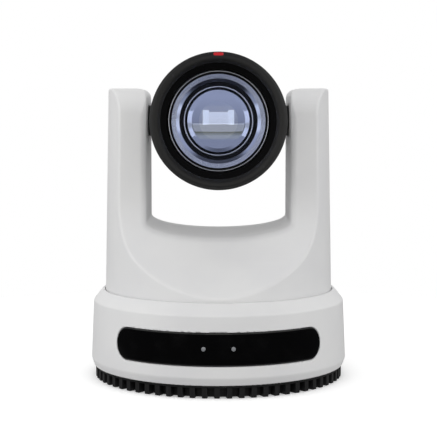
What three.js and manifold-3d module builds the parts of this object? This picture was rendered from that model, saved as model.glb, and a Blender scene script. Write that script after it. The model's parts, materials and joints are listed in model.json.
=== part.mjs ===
// Pan-tilt-zoom camera: a round base, a forked yoke that pans on it, and a camera head that tilts in the fork.
// Millimetres, +Z up, the lens looks along -Y. The origin is under the pan axis, on the face it stands on.
import * as THREE from "three";
import { mergeVertices } from "three/addons/utils/BufferGeometryUtils.js";
import Module from "manifold-3d";

const wasm = await Module();
wasm.setup();

// ---------------------------------------------------------------- driving dimensions
const GAP = 0.3; // clearance between two pieces that touch
const WALL = 2.4; // thickness of the moulded shells
const ROUND = 48; // sides of a large circle
const SMALL = 20; // sides of a small circle
const TINY = 10; // sides of a pin or a wire-sized hole

const foot = {
  tipR: 68.8, rootR: 64.6, innerR: 60, flangeZ: 5.3, topZ: 6.2,
  teeth: 67, toothShare: 0.42, // the share of the pitch that a tooth takes
  turnDeg: -0.6, // how far the row of teeth is turned from the front
};
const base = {
  footR: 69.6, footZ: 6.5, // lower edge
  wideR: 71, wideZ: 10.5, // widest ring
  shoulderR: 69.6, shoulderZ: 42.5, // where the wall turns into the shoulder
  rimR: 64.4, rimZ: 48.5, // edge around the yoke
  openR: 63.7, ledgeR: 56, ledgeTopZ: 45.2, ledgeZ: 43.2,
};
const panel = { angle: 49.9, lowZ: 16.8, highZ: 33.9, thick: 2, inset: 0.2 }; // indicator window on the front
const bay = { halfX: 43.7, lowZ: 13.3, highZ: 36.7, backY: 46, wall: 2 }; // recess for the rear connectors
const yoke = {
  bottomZ: 46.2, topZ: 159, lowR: 62.98, draft: 0.0198,
  frontY: 31.3, frontLean: 0.8, frontArcZ: 100, frontArcR: 45, frontArcDeg: 47,
  rearY: 30, rearArcZ: 95, rearArcR: 36, rearArcDeg: 50,
  topR: 14, // rounding of the arms' tops, seen from the side
  slotX: 38.7, floorZ: 79.8, floorRise: 7.8, cornerR: 4.5, // the opening that the head turns in
  splitY: 16,
};
const tiltZ = 141.5; // height of the tilt axis
const head = { bezelR: 36, frontY: -50, bezelRearY: -38, shellR: 34.7, shellRearY: 28, tailY: 46, wall: 2.2 };
const trunnion = {
  flangeR: 10, collarR: 8.4, shaftR: 5.9, boreR: 3.5,
  flangeX: 27, collarX: 29.8, shaftX: 41.3, endX: 55, leftEndX: 52,
};
const panDrive = { pulleyR: 24, pinionR: 5, motorY: -38, motorR: 14, beltLowZ: 36.8, beltHighZ: 40.2 };
const panBearing = { outerR: 16.7, outerBoreR: 12.7, innerR: 12.1, boreR: 9.3, lowZ: 27.3, highZ: 33.5 };
const tiltDrive = { pulleyR: 13, pinionR: 5, motorZ: 63.5, motorR: 12, beltLowX: 51.4, beltHighX: 54.2 };
const tiltBearing = { outerR: 10, boreR: 6.2, innerX: 46.3, outerX: 50 };
const beltThick = 1.2;
const trimRing = { outerR: 26.3, boreR: 25.6, frontY: -43.4, rearY: -40 };
const frontElement = { radius: 25.2, rise: 3.4, frontY: -44.6, edgeY: -41.2, backY: -39.6 };
const innerElement = { radius: 18.5, rise: 2, frontY: -35.6, edgeY: -33.6, backY: -30.8 };
const rodOffset = 18.5; // lens guide rods and lead screws stand this far from the optical axis
const guideRod = { radius: 1, frontY: -28.2, rearY: 17.6 };
const lensMotor = { radius: 3.6, length: 10, screwR: 1.2 };

// ---------------------------------------------------------------- materials
const finish = (color, roughness, metalness = 0, extra = {}) =>
  new THREE.MeshStandardMaterial({ color, roughness, metalness, ...extra });
const whiteAbs = finish(0xe4e4e6, 0.45);
const blackAbs = finish(0x1b1b1d, 0.55);
const smokedAcrylic = finish(0x050506, 0.08);
const clearAcrylic = finish(0xb9bcc2, 0.2);
const redAcrylic = finish(0xd2232a, 0.25);
const coatedGlass = finish(0x9aa4c8, 0.03, 0, { transparent: true, opacity: 0.4 });
const zincSteel = finish(0xb8babd, 0.35, 1);
const castAluminium = finish(0x9b9ea3, 0.5, 1);
const nickel = finish(0xc9c7c1, 0.25, 1);
const brass = finish(0xc7a24c, 0.3, 1);
const circuitBoard = finish(0x1d5a35, 0.5);
const jackPlastic = finish(0x161618, 0.4);
const acetal = finish(0xe9e6dc, 0.5);
const beltRubber = finish(0x151515, 0.85);

// ---------------------------------------------------------------- shaping helpers
const radians = THREE.MathUtils.degToRad;

// A closed three.js geometry as a manifold-3d solid.
function solid(geometry) {
  const bare = geometry.clone();
  bare.deleteAttribute("normal");
  bare.deleteAttribute("uv");
  const merged = mergeVertices(bare, 1e-4);
  const { array } = merged.attributes.position;
  return new wasm.Manifold(new wasm.Mesh({ numProp: 3, vertProperties: array, triVerts: merged.index.array }));
}

// A manifold-3d solid back as a three.js geometry.
function geometryOf(made) {
  const { vertProperties, triVerts } = made.getMesh();
  const geometry = new THREE.BufferGeometry();
  geometry.setAttribute("position", new THREE.BufferAttribute(new Float32Array(vertProperties), 3));
  geometry.setIndex(new THREE.BufferAttribute(new Uint32Array(triVerts), 1));
  geometry.computeVertexNormals();
  return geometry;
}

const all = (first, ...others) => others.reduce((sum, other) => sum.add(other), first);
const cut = (body, ...tools) => tools.reduce((left, tool) => left.subtract(tool), body);

// A block from its lowest to its highest corner.
function block([x0, y0, z0], [x1, y1, z1]) {
  const box = new THREE.BoxGeometry(x1 - x0, y1 - y0, z1 - z0);
  return solid(box.translate((x0 + x1) / 2, (y0 + y1) / 2, (z0 + z1) / 2));
}

// Points (radius, height) turned about the named axis. The outline runs anticlockwise.
function turned(points, axis, sides) {
  const lathe = new THREE.LatheGeometry(points.map(([r, h]) => new THREE.Vector2(r, h)), sides);
  if (axis === "z") lathe.rotateX(Math.PI / 2);
  if (axis === "x") lathe.rotateZ(-Math.PI / 2);
  return solid(lathe);
}

const rod = (radius, low, high, axis, sides = SMALL) =>
  turned([[0, low], [radius, low], [radius, high], [0, high]], axis, sides);

function ring(outerR, innerR, low, high, axis, sides = SMALL) {
  const corners = [[outerR, low], [outerR, high], [innerR, high], [innerR, low], [outerR, low]];
  return turned(corners, axis, sides);
}

// An outline in the plane across the named axis, made solid from low to high along that axis.
function prism(points, low, high, axis, holes = []) {
  const shape = new THREE.Shape(points.map(([u, v]) => new THREE.Vector2(u, v)));
  shape.holes = holes.map((hole) => new THREE.Path(hole.map(([u, v]) => new THREE.Vector2(u, v))));
  const slab = new THREE.ExtrudeGeometry(shape, { depth: high - low, bevelEnabled: false });
  slab.translate(0, 0, axis === "y" ? -high : low);
  if (axis === "y") slab.rotateX(Math.PI / 2); // outline in X, Z
  if (axis === "x") {
    const [x, y, z] = [new THREE.Vector3(1, 0, 0), new THREE.Vector3(0, 1, 0), new THREE.Vector3(0, 0, 1)];
    slab.applyMatrix4(new THREE.Matrix4().makeBasis(y, z, x)); // outline in Y, Z
  }
  return solid(slab);
}

// Evenly spaced whole or half steps about zero, one for each of a row's members.
const row = (count) => Array.from({ length: count }, (_, i) => i - (count - 1) / 2);

// Points on an arc, from one angle to another, in degrees.
function arc(u, v, radius, fromDeg, toDeg, steps) {
  return Array.from({ length: steps + 1 }, (_, i) => {
    const angle = radians(fromDeg + ((toDeg - fromDeg) * i) / steps);
    return [u + radius * Math.cos(angle), v + radius * Math.sin(angle)];
  });
}

function mesh(name, made, material, place = [0, 0, 0]) {
  const part = new THREE.Mesh(geometryOf(made), material);
  part.name = name;
  part.position.set(...place);
  return part;
}

// ---------------------------------------------------------------- base
const wallRadius = (z) =>
  base.wideR + ((base.shoulderR - base.wideR) * (z - base.wideZ)) / (base.shoulderZ - base.wideZ);

// The rounded slot that the indicator window fills, as wide cutters on the drum; grow widens it all round.
function windowCutter(innerR, outerR, grow) {
  const midZ = (panel.lowZ + panel.highZ) / 2;
  const endR = (panel.highZ - panel.lowZ) / 2;
  const endDeg = panel.angle - THREE.MathUtils.radToDeg(endR / base.wideR);
  const wedge = arc(0, 0, outerR + 8, -90 - endDeg, -90 + endDeg, 12);
  const middle = prism([[0, 0], ...wedge], panel.lowZ - grow, panel.highZ + grow, "z");
  const ends = [-endDeg, endDeg].map((deg) => {
    const peg = new THREE.CylinderGeometry(endR + grow, endR + grow, outerR - innerR + 16, SMALL);
    peg.translate(0, -(innerR + outerR) / 2, 0).rotateZ(radians(deg)).translate(0, 0, midZ);
    return solid(peg);
  });
  return all(middle, ...ends);
}

function baseShell() {
  const inner = WALL;
  const drum = turned([
    [base.footR, base.footZ], [base.wideR, base.wideZ], [base.shoulderR, base.shoulderZ],
    [base.rimR, base.rimZ], [base.openR, base.rimZ], [base.openR, base.ledgeTopZ],
    [base.ledgeR, base.ledgeTopZ], [base.ledgeR, base.ledgeZ], [base.rimR - inner, base.ledgeZ],
    [base.shoulderR - inner, base.shoulderZ - 3], [base.wideR - inner, base.wideZ],
    [base.footR - inner, base.footZ], [base.footR, base.footZ],
  ], "z", ROUND);
  const bayHole = block(
    [-bay.halfX - GAP, bay.backY - 2, bay.lowZ - GAP],
    [bay.halfX + GAP, base.wideR + 5, bay.highZ + GAP],
  );
  return cut(drum, windowCutter(base.wideR - 8, base.wideR, GAP), bayHole);
}

function footRing() {
  const pitch = 360 / foot.teeth;
  const half = (pitch * foot.toothShare) / 2;
  const toothAngles = Array.from({ length: foot.teeth }, (_, i) => -90 + foot.turnDeg + i * pitch);
  const outline = toothAngles.flatMap((mid) => [
    ...arc(0, 0, foot.rootR, mid - pitch + half * 1.1, mid - half * 1.1, 1),
    ...arc(0, 0, foot.tipR, mid - half, mid + half, 1),
  ]);
  const hole = arc(0, 0, foot.innerR, 0, 355, 71);
  const gear = prism(outline, 0, foot.flangeZ, "z", [hole]);
  return gear.add(ring(foot.tipR - 0.2, foot.innerR, foot.flangeZ, foot.topZ, "z", ROUND));
}

const plateLowZ = 2;
const plateZ = 4; // top of the base plate
const legs = [[-38, -28], [38, -28], [-38, 20], [38, 20]];
const boardThick = 1.6;
const boardLowZ = 13;
const frameZ = 32;
const frameTopZ = 34;

function basePlate() {
  const plate = rod(foot.innerR - 0.4, plateLowZ, plateZ, "z", ROUND);
  const screwHoles = legs.map(([x, y]) => rod(1.8, 0, 10, "z", TINY).translate([x, y, 0]));
  const slots = [-1, 1].flatMap((side) =>
    [18, 24, 30].map((x) => block([side * x - 1.2, -12, 0], [side * x + 1.2, 12, 10])),
  );
  return cut(plate, rod(5.4, 0, 10, "z"), ...screwHoles, ...slots);
}

function tripodInsert() {
  const profile = [
    [5, plateLowZ], [5, plateZ + GAP], [7.5, plateZ + GAP], [7.5, plateZ + 2], [5, plateZ + 2], [5, 12],
    [3.17, 12], [3.17, plateLowZ], [5, plateLowZ],
  ];
  return turned(profile, "z", SMALL);
}

const lampX = 7.6;
const lampZ = 25.7;
const lampR = 1.25;

function frontWindow() {
  const outer = (z) => wallRadius(z) - panel.inset;
  const [low, high] = [panel.lowZ - 1, panel.highZ + 1];
  const band = turned([
    [outer(low), low], [outer(high), high], [outer(high) - panel.thick, high],
    [outer(low) - panel.thick, low], [outer(low), low],
  ], "z", ROUND * 2);
  const lampHoles = [-lampX, lampX].map((x) => rod(lampR + GAP, -80, -60, "y", TINY).translate([x, 0, lampZ]));
  return cut(band.intersect(windowCutter(base.wideR - 8, base.wideR, 0)), ...lampHoles);
}

const lamp = () => rod(lampR, -69.9, -62, "y", TINY);

function connectorBay() {
  const drum = rod(base.shoulderR - 0.4, bay.lowZ, bay.highZ, "z", ROUND);
  const outer = block([-bay.halfX, bay.backY, bay.lowZ], [bay.halfX, 90, bay.highZ]).intersect(drum);
  const room = block(
    [-bay.halfX + bay.wall, bay.backY + bay.wall, bay.lowZ + bay.wall],
    [bay.halfX - bay.wall, 90, bay.highZ - bay.wall],
  );
  const faceY = [bay.backY - 5, bay.backY + 5];
  const square = ({ x, z, w, h }) =>
    block([x - w / 2 - GAP, faceY[0], z - h / 2 - GAP], [x + w / 2 + GAP, faceY[1], z + h / 2 + GAP]);
  const round = ({ x, z, r }) => rod(r + GAP, ...faceY, "y", SMALL).translate([x, 0, z]);
  return cut(outer, room, ...jacks.square.map(square), ...jacks.round.map(round));
}

// Rear connectors: centre in X and Z, then the width and height of a square one or the radius of a round one.
const jacks = {
  square: [
    { name: "network_jack", x: -22, z: 21.8, w: 16, h: 13.4 },
    { name: "video_jack", x: -4.5, z: 18.6, w: 15, h: 6 },
    { name: "usb_jack", x: -4.5, z: 29.5, w: 14, h: 7 },
  ],
  round: [
    { name: "dc_jack", x: -36.3, z: 22, r: 4.2 },
    { name: "coax_jack", x: 11, z: 24.5, r: 4.9 },
    { name: "serial_jack", x: 25, z: 20.8, r: 4.8 },
    { name: "rotary_selector", x: 25, z: 31, r: 3.3 },
    { name: "audio_in_jack", x: 36, z: 20, r: 3 },
    { name: "audio_out_jack", x: 36, z: 29.8, r: 3 },
  ],
};
const jackFaceY = 48.6;
const jackBackY = 34;
const bodyY = bay.backY - GAP; // front of the part of a round connector that is behind the panel

function networkJack() {
  const body = block([-8, jackBackY, -6.7], [8, jackFaceY, 6.7]);
  const socket = block([-5.9, jackFaceY - 11, -3.6], [5.9, jackFaceY + 1, 4.2]);
  const latch = block([-3.2, jackFaceY - 8, -5.4], [3.2, jackFaceY + 1, -3.5]);
  return cut(body, socket, latch);
}

// A square connector with a tongue in its mouth.
function tongueJack(w, h, mouthW, mouthH, tongueH) {
  const body = block([-w / 2, jackBackY, -h / 2], [w / 2, jackFaceY, h / 2]);
  const mouth = block([-mouthW / 2, jackFaceY - 8, -mouthH / 2], [mouthW / 2, jackFaceY + 1, mouthH / 2]);
  const tongueHalfW = mouthW / 2 - 1.4;
  const tongue = block([-tongueHalfW, jackFaceY - 9, -tongueH / 2], [tongueHalfW, jackFaceY - 1, tongueH / 2]);
  return cut(body, mouth).add(tongue);
}

function dcJack() {
  const body = block([-4.5, jackBackY, -6.5], [4.5, bodyY, 4.5]).add(rod(4.2, bodyY - 1, jackFaceY, "y"));
  return cut(body, rod(3, jackFaceY - 9, 60, "y")).add(rod(1, jackFaceY - 10, jackFaceY - 1, "y", TINY));
}

function coaxJack() {
  const body = block([-7, jackBackY, -7], [7, bodyY, 7]);
  const barrel = rod(4.9, bodyY - 1, 58, "y");
  const lugs = rod(1, -5.7, 5.7, "x", TINY).translate([0, 55.5, 0]);
  return cut(all(body, barrel, lugs), rod(3.9, 50, 60, "y")).add(ring(2.4, 0.7, 49, 56.5, "y", TINY));
}

function serialJack() {
  const body = block([-5.3, jackBackY, -5.3], [5.3, bodyY, 5.3]).add(rod(4.8, bodyY - 1, jackFaceY + 0.6, "y"));
  return cut(body, ring(4.1, 2.9, jackFaceY - 4, 60, "y"));
}

function audioJack() {
  const body = block([-4, jackBackY, -4], [4, bodyY, 4]).add(rod(3, bodyY - 1, jackFaceY + 0.9, "y"));
  return cut(body, rod(1.8, jackFaceY - 9, 60, "y", TINY));
}

function rotarySelector() {
  const knob = rod(3.3, bay.backY - 1.5, jackFaceY + 0.6, "y");
  return cut(knob, block([-0.5, jackFaceY - 0.6, -2.8], [0.5, 60, 2.8]));
}

function roundBoard(radius, rearY, lowZ, highZ, holes) {
  const disc = rod(radius, lowZ, highZ, "z", ROUND / 2);
  const rear = block([-80, rearY, lowZ - 5], [80, 80, highZ + 5]);
  return cut(disc, rear, ...holes.map(([x, y, r]) => rod(r, 0, 60, "z", TINY).translate([x, y, 0])));
}

function mainBoard() {
  const standHoles = legs.map((leg) => [...leg, 3 + 0.4]);
  return roundBoard(56, 45, boardLowZ, boardLowZ + boardThick, standHoles);
}

function panFrame() {
  const motorHole = [0, panDrive.motorY, 3.2];
  const plate = roundBoard(52, 27, frameZ, frameTopZ, [motorHole]);
  const stands = legs.map(([x, y]) =>
    turned([
      [0, plateZ + GAP], [4.5, plateZ + GAP], [4.5, boardLowZ - GAP], [3, boardLowZ - GAP], [3, frameZ + 0.5],
      [0, frameZ + 0.5],
    ], "z", TINY).translate([x, y, 0]),
  );
  return cut(all(plate, ...stands), rod(panBearing.outerR + GAP, 20, 50, "z"));
}

// The closed loop of a flat belt round two pulleys: a large one at the origin, a small one further off.
function beltLoop(largeR, smallR, distance, outward) {
  const lean = THREE.MathUtils.radToDeg(Math.acos((largeR - smallR) / distance));
  const large = arc(0, 0, largeR + outward, 270 + lean, 630 - lean, 22);
  const small = arc(0, -distance, smallR + outward, 270 - lean, 270 + lean, 10);
  return [...large, ...small];
}

function belt(drive, distance, low, high, axis) {
  const outer = beltLoop(drive.pulleyR, drive.pinionR, distance, GAP + beltThick);
  const inner = beltLoop(drive.pulleyR, drive.pinionR, distance, GAP);
  return prism(outer, low, high, axis, [inner]);
}

// A motor's turning end: its thin shaft and the flanged pulley on it.
function pinion(radius, low, pulleyLow, pulleyHigh, axis) {
  return turned([
    [0, low], [2, low], [2, pulleyLow], [radius, pulleyLow], [radius, pulleyHigh], [0, pulleyHigh],
  ], axis, SMALL);
}

function toothedPulley(radius, boreR, low, high, axis) {
  return ring(radius, boreR, low, high, axis, ROUND / 2);
}

const bearingRing = (outerR, boreR) => ring(outerR, boreR, panBearing.lowZ, panBearing.highZ, "z");

function buildBase() {
  const group = new THREE.Group();
  const jackAt = (name) => {
    const { x, z } = [...jacks.square, ...jacks.round].find((jack) => jack.name === name);
    return [x, 0, z];
  };
  const atMotor = [0, panDrive.motorY, 0];
  group.add(
    mesh("base_shell", baseShell(), whiteAbs),
    mesh("foot_ring", footRing(), blackAbs),
    mesh("base_plate", basePlate(), zincSteel),
    mesh("tripod_insert", tripodInsert(), brass),
    mesh("front_window", frontWindow(), smokedAcrylic),
    mesh("standby_light", lamp(), clearAcrylic, [-lampX, 0, lampZ]),
    mesh("power_light", lamp(), clearAcrylic, [lampX, 0, lampZ]),
    mesh("indicator_board", block([-18, -60 - boardThick, 18], [18, -60, 33]), circuitBoard),
    mesh("connector_bay", connectorBay(), blackAbs),
    mesh("dc_jack", dcJack(), jackPlastic, jackAt("dc_jack")),
    mesh("network_jack", networkJack(), nickel, jackAt("network_jack")),
    mesh("video_jack", tongueJack(15, 6, 14, 4.6, 1.4), nickel, jackAt("video_jack")),
    mesh("usb_jack", tongueJack(14, 7, 12.5, 5.2, 1.8), nickel, jackAt("usb_jack")),
    mesh("coax_jack", coaxJack(), nickel, jackAt("coax_jack")),
    mesh("serial_jack", serialJack(), jackPlastic, jackAt("serial_jack")),
    mesh("audio_in_jack", audioJack(), jackPlastic, jackAt("audio_in_jack")),
    mesh("audio_out_jack", audioJack(), jackPlastic, jackAt("audio_out_jack")),
    mesh("rotary_selector", rotarySelector(), acetal, jackAt("rotary_selector")),
    mesh("main_board", mainBoard(), circuitBoard),
    mesh("pan_frame", panFrame(), zincSteel),
    mesh("pan_motor", rod(panDrive.motorR, 16, frameZ - GAP, "z"), castAluminium, atMotor),
    mesh("pan_motor_pulley", pinion(panDrive.pinionR, frameZ + 0.1, 36.3, 40.7, "z"), brass, atMotor),
    mesh("pan_bearing_outer", bearingRing(panBearing.outerR, panBearing.outerBoreR), nickel),
    mesh("pan_belt", belt(panDrive, -panDrive.motorY, panDrive.beltLowZ, panDrive.beltHighZ, "z"), beltRubber),
  );
  return group;
}

// ---------------------------------------------------------------- yoke
// The fork's side outline in Y and Z: upright faces that sweep out to the drum, and rounded tops.
function yokeSide(inset) {
  const sweep = (y, z, radius, deg, side) => {
    const outward = radius + inset;
    const points = arc(y + side * radius, z, outward, side > 0 ? 180 : 0, side > 0 ? 180 + deg : -deg, 9);
    const [lastY, lastZ] = points.at(-1);
    const drop = lastZ - yoke.bottomZ + 5 * inset;
    return [...points, [lastY + side * drop * Math.tan(radians(deg)), lastZ - drop]];
  };
  const crownZ = yoke.topZ - yoke.topR;
  const crownR = yoke.topR - inset;
  const frontTopY = -yoke.frontY + yoke.frontLean;
  const front = sweep(-yoke.frontY, yoke.frontArcZ, yoke.frontArcR, yoke.frontArcDeg, -1).reverse();
  const rear = sweep(yoke.rearY, yoke.rearArcZ, yoke.rearArcR, yoke.rearArcDeg, 1);
  return [
    ...front,
    ...arc(frontTopY + yoke.topR, crownZ, crownR, 180, 90, 6),
    ...arc(yoke.rearY - yoke.topR, crownZ, crownR, 90, 0, 6),
    ...rear,
  ];
}

// The opening between the arms in X and Z: upright sides, an elliptical floor and rounded top corners.
function yokeSlot(inset) {
  const floorMidZ = yoke.floorZ + yoke.floorRise;
  const halfX = yoke.slotX + inset;
  const drop = yoke.floorRise + inset;
  const floor = arc(0, 0, 1, 180, 360, 18).map(([u, v]) => [u * halfX, floorMidZ + v * drop]);
  const cornerX = yoke.slotX + yoke.cornerR;
  const cornerZ = yoke.topZ - yoke.cornerR;
  const right = arc(cornerX, cornerZ, yoke.cornerR - inset, 180, 90, 4);
  const left = right.map(([x, z]) => [-x, z]).reverse();
  return [...floor, ...right, [cornerX, 200], [-cornerX, 200], ...left];
}

function yokeForm(inset) {
  const low = yoke.bottomZ - 3 * inset;
  const radiusAt = (z) => yoke.lowR - yoke.draft * (z - yoke.bottomZ) - inset;
  const drum = turned([[0, low], [radiusAt(low), low], [radiusAt(170), 170], [0, 170]], "z", ROUND);
  const side = prism(yokeSide(inset), -90, 90, "x");
  return drum.intersect(side).subtract(prism(yokeSlot(inset), -90, 90, "y"));
}

const screwAt = { x: 48.5, z: 108, headY: 28.5, tipY: 17 };

function yokeShell() {
  const shell = yokeForm(0).subtract(yokeForm(WALL));
  return shell.subtract(rod(trunnion.collarR + 0.6, -45, 45, "x").translate([0, 0, tiltZ]));
}

function yokeFront(shell) {
  return shell.intersect(block([-90, -90, 0], [90, yoke.splitY - GAP / 2, 200]));
}

function yokeRear(shell) {
  const screws = [-screwAt.x, screwAt.x].flatMap((x) => [
    rod(3, screwAt.headY - GAP, 40, "y", TINY).translate([x, 0, screwAt.z]),
    rod(1.7, 20, 40, "y", TINY).translate([x, 0, screwAt.z]),
  ]);
  const vents = row(11).map((i) => block([i * 5 - 1, 34, 59], [i * 5 + 1, 75, 72]));
  return cut(shell.intersect(block([-90, yoke.splitY + GAP / 2, 0], [90, 90, 200])), ...screws, ...vents);
}

const bracket = { innerX: 44.5, outerX: 46, halfY: 15, lowZ: 49.3, floorZ: 50.8, topZ: 153 };

function tiltFrame() {
  const { innerX, outerX, halfY, lowZ, floorZ, topZ } = bracket;
  const channel = prism([
    [-outerX, topZ], [-outerX, lowZ], [outerX, lowZ], [outerX, topZ], [innerX, topZ], [innerX, floorZ],
    [-innerX, floorZ], [-innerX, topZ],
  ], -halfY, halfY, "y");
  const window = block([-60, -8, 88], [60, 8, 118]);
  const shaftHole = rod(6.4, -60, 60, "x").translate([0, 0, tiltZ]);
  return cut(channel, window, shaftHole, rod(3, 30, 60, "x", TINY).translate([0, 0, tiltDrive.motorZ]));
}

function panHub() {
  return turned([
    [9, 26.5], [9, 43.7], [20, 43.7], [20, 46.7], [6, 46.7], [6, 26.5], [9, 26.5],
  ], "z", SMALL);
}

function turntable() {
  const disc = ring(59.8, 6.3, 47, 49, "z", ROUND);
  return cut(disc, ...[-1, 1].map((side) => rod(4, 40, 60, "z", TINY).translate([side * 22, 26, 0])));
}

function yokeScrew() {
  const { headY, tipY } = screwAt;
  return rod(2.7, headY, headY + 1.4, "y", TINY).add(rod(1.4, tipY, headY + 0.5, "y", TINY));
}

function buildYoke() {
  const group = new THREE.Group();
  const shell = yokeShell();
  const tiltBelt = belt(tiltDrive, tiltZ - tiltDrive.motorZ, tiltDrive.beltLowX, tiltDrive.beltHighX, "x");
  const atMotor = [0, 0, tiltDrive.motorZ];
  const { outerR, boreR, innerX, outerX } = tiltBearing;
  group.add(
    mesh("yoke_front_shell", yokeFront(shell), whiteAbs),
    mesh("yoke_rear_shell", yokeRear(shell), whiteAbs),
    mesh("turntable", turntable(), zincSteel),
    mesh("pan_hub", panHub(), castAluminium),
    mesh("pan_pulley", toothedPulley(panDrive.pulleyR, panBearing.boreR, 36, 41, "z"), acetal),
    mesh("pan_bearing_inner", bearingRing(panBearing.innerR, panBearing.boreR), nickel),
    mesh("tilt_frame", tiltFrame(), zincSteel),
    mesh("tilt_motor", rod(tiltDrive.motorR, 17, bracket.innerX - GAP, "x"), castAluminium, atMotor),
    mesh("tilt_motor_pulley", pinion(tiltDrive.pinionR, bracket.innerX, 50.9, 54.6, "x"), brass, atMotor),
    mesh("tilt_belt", tiltBelt, beltRubber, [0, 0, tiltZ]),
    mesh("tilt_bearing_left", ring(outerR, boreR, -outerX, -innerX, "x"), nickel, [0, 0, tiltZ]),
    mesh("tilt_bearing_right", ring(outerR, boreR, innerX, outerX, "x"), nickel, [0, 0, tiltZ]),
    mesh("driver_board", block([-42, -16, 54], [-6, 16, 54 + boardThick]), circuitBoard),
    mesh("yoke_screw_left", yokeScrew(), zincSteel, [-screwAt.x, 0, screwAt.z]),
    mesh("yoke_screw_right", yokeScrew(), zincSteel, [screwAt.x, 0, screwAt.z]),
  );
  return group;
}

// ---------------------------------------------------------------- head, about the tilt axis
const tally = { halfX: 2.6, lowZ: 33.2, highZ: 35.2, frontY: -49.8, rearY: -45 };
const zoom = { carrierLowY: -26, carrierHighY: -21, screwFrontY: -28, screwRearY: 0.7, motorFrontY: 1 };
const focus = { carrierLowY: 3, carrierHighY: 7, screwFrontY: -3, screwRearY: 16, motorFrontY: -13.3 };

function headBezel() {
  const { bezelR, frontY, bezelRearY } = head;
  const hood = turned([
    [bezelR - 2.3, frontY], [bezelR - 0.6, frontY + 0.7], [bezelR, frontY + 2.4], [bezelR, bezelRearY],
    [bezelR - 1.6, bezelRearY], [bezelR - 1.6, bezelRearY - 1.5], [27, bezelRearY - 1.5], [27, -42.5],
    [28.6, -45.4], [31.6, frontY + 0.7], [32.2, frontY], [bezelR - 2.3, frontY],
  ], "y", ROUND);
  const seat = block(
    [-tally.halfX - GAP, frontY - 5, tally.lowZ - GAP],
    [tally.halfX + GAP, tally.rearY + GAP, 40],
  );
  return hood.subtract(seat);
}

function headShell() {
  const { shellR, shellRearY, bezelRearY, wall } = head;
  const tube = turned([
    [shellR, bezelRearY + GAP], [shellR, 8], [shellR - 0.7, shellRearY], [shellR - 0.7 - wall, shellRearY],
    [shellR - wall, 8], [shellR - wall, bezelRearY + GAP], [shellR, bezelRearY + GAP],
  ], "y", ROUND);
  return tube.subtract(rod(trunnion.collarR + GAP, -60, 60, "x"));
}

function headRearCover() {
  const y = head.shellRearY + GAP;
  const r = head.shellR - 0.7;
  const { tailY, wall } = head;
  const dome = turned([
    [0, tailY - wall], [21, tailY - wall], [25.6, tailY - 3.7], [29, tailY - 7.6], [31, tailY - 12.6],
    [r - wall, y], [r, y], [33.2, tailY - 11.8], [31, tailY - 6], [27, tailY - 1.7], [22, tailY], [0, tailY],
  ], "y", ROUND);
  const vents = row(5).map((i) => block([-12, tailY - 5, i * 4.5 - 0.9], [12, tailY + 5, i * 4.5 + 0.9]));
  return cut(dome, ...vents);
}

// A lens element seen in section: a domed front and a flat back.
function lensElement({ radius, rise, frontY, edgeY, backY }) {
  const dome = [0, 1, 2, 3, 4].map((i) => {
    const r = (radius * i) / 4;
    return [r, frontY + rise * (r / radius) ** 2];
  });
  return turned([...dome, [radius, edgeY], [radius, backY], [0, backY]], "y", ROUND / 2);
}

function lensBarrel() {
  return turned([
    [26.5, -39.2], [26.5, 17.7], [22.6, 17.7], [22.6, -28.6], [17.2, -28.6], [17.2, -30.4], [18.9, -30.4],
    [18.9, -34], [24.4, -38], [24.4, -39.2], [26.5, -39.2],
  ], "y", ROUND / 2);
}

// A moving lens group: its holder, two lugs on the guide rods and a nut on the lead screw above or below.
function lensCarrier(lowY, highY, screwSide) {
  const [midLow, midHigh] = [lowY + 1, highY - 1];
  const holder = rod(14.2, lowY, highY, "y");
  const arms = block([-rodOffset, midLow, -1.8], [rodOffset, midHigh, 1.8]);
  const nutZ = screwSide * rodOffset;
  const nutArm = block([-1.8, midLow, Math.min(0, nutZ)], [1.8, midHigh, Math.max(0, nutZ)]);
  const spots = [
    { x: -rodOffset, z: 0, holeR: guideRod.radius + GAP },
    { x: rodOffset, z: 0, holeR: guideRod.radius + GAP },
    { x: 0, z: nutZ, holeR: 1.6 },
  ];
  const lugs = spots.map(({ x, z }) => rod(2.7, midLow, midHigh, "y", TINY).translate([x, 0, z]));
  const holes = spots.map(({ x, z, holeR }) => rod(holeR, lowY - 5, highY + 5, "y", TINY).translate([x, 0, z]));
  return cut(all(holder, arms, nutArm, ...lugs), ...holes);
}

const lensTrimRing = () => ring(trimRing.outerR, trimRing.boreR, trimRing.frontY, trimRing.rearY, "y", ROUND);
const lensRod = () => rod(guideRod.radius, guideRod.frontY, guideRod.rearY, "y", TINY);
const leadScrew = ({ screwFrontY, screwRearY }) => rod(lensMotor.screwR, screwFrontY, screwRearY, "y", TINY);
const smallMotor = ({ motorFrontY }) => rod(lensMotor.radius, motorFrontY, motorFrontY + lensMotor.length, "y");

function trunnionShaft(endX) {
  const { flangeR, collarR, shaftR, boreR, flangeX, collarX, shaftX } = trunnion;
  return turned([
    [flangeR, flangeX], [flangeR, collarX], [collarR, collarX], [collarR, shaftX], [shaftR, shaftX],
    [shaftR, endX], [boreR, endX], [boreR, flangeX], [flangeR, flangeX],
  ], "x", SMALL);
}

function sensorBoard() {
  return block([-20, 18, -20], [20, 18 + boardThick, 20]).add(block([-7, 16.5, -5.5], [7, 18.1, 5.5]));
}

function heatSink() {
  const fins = row(7).map((i) => block([i * 5 - 0.8, 21.5, -16], [i * 5 + 0.8, 30, 16]));
  return all(block([-17, 20, -16], [17, 22, 16]), ...fins);
}

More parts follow.
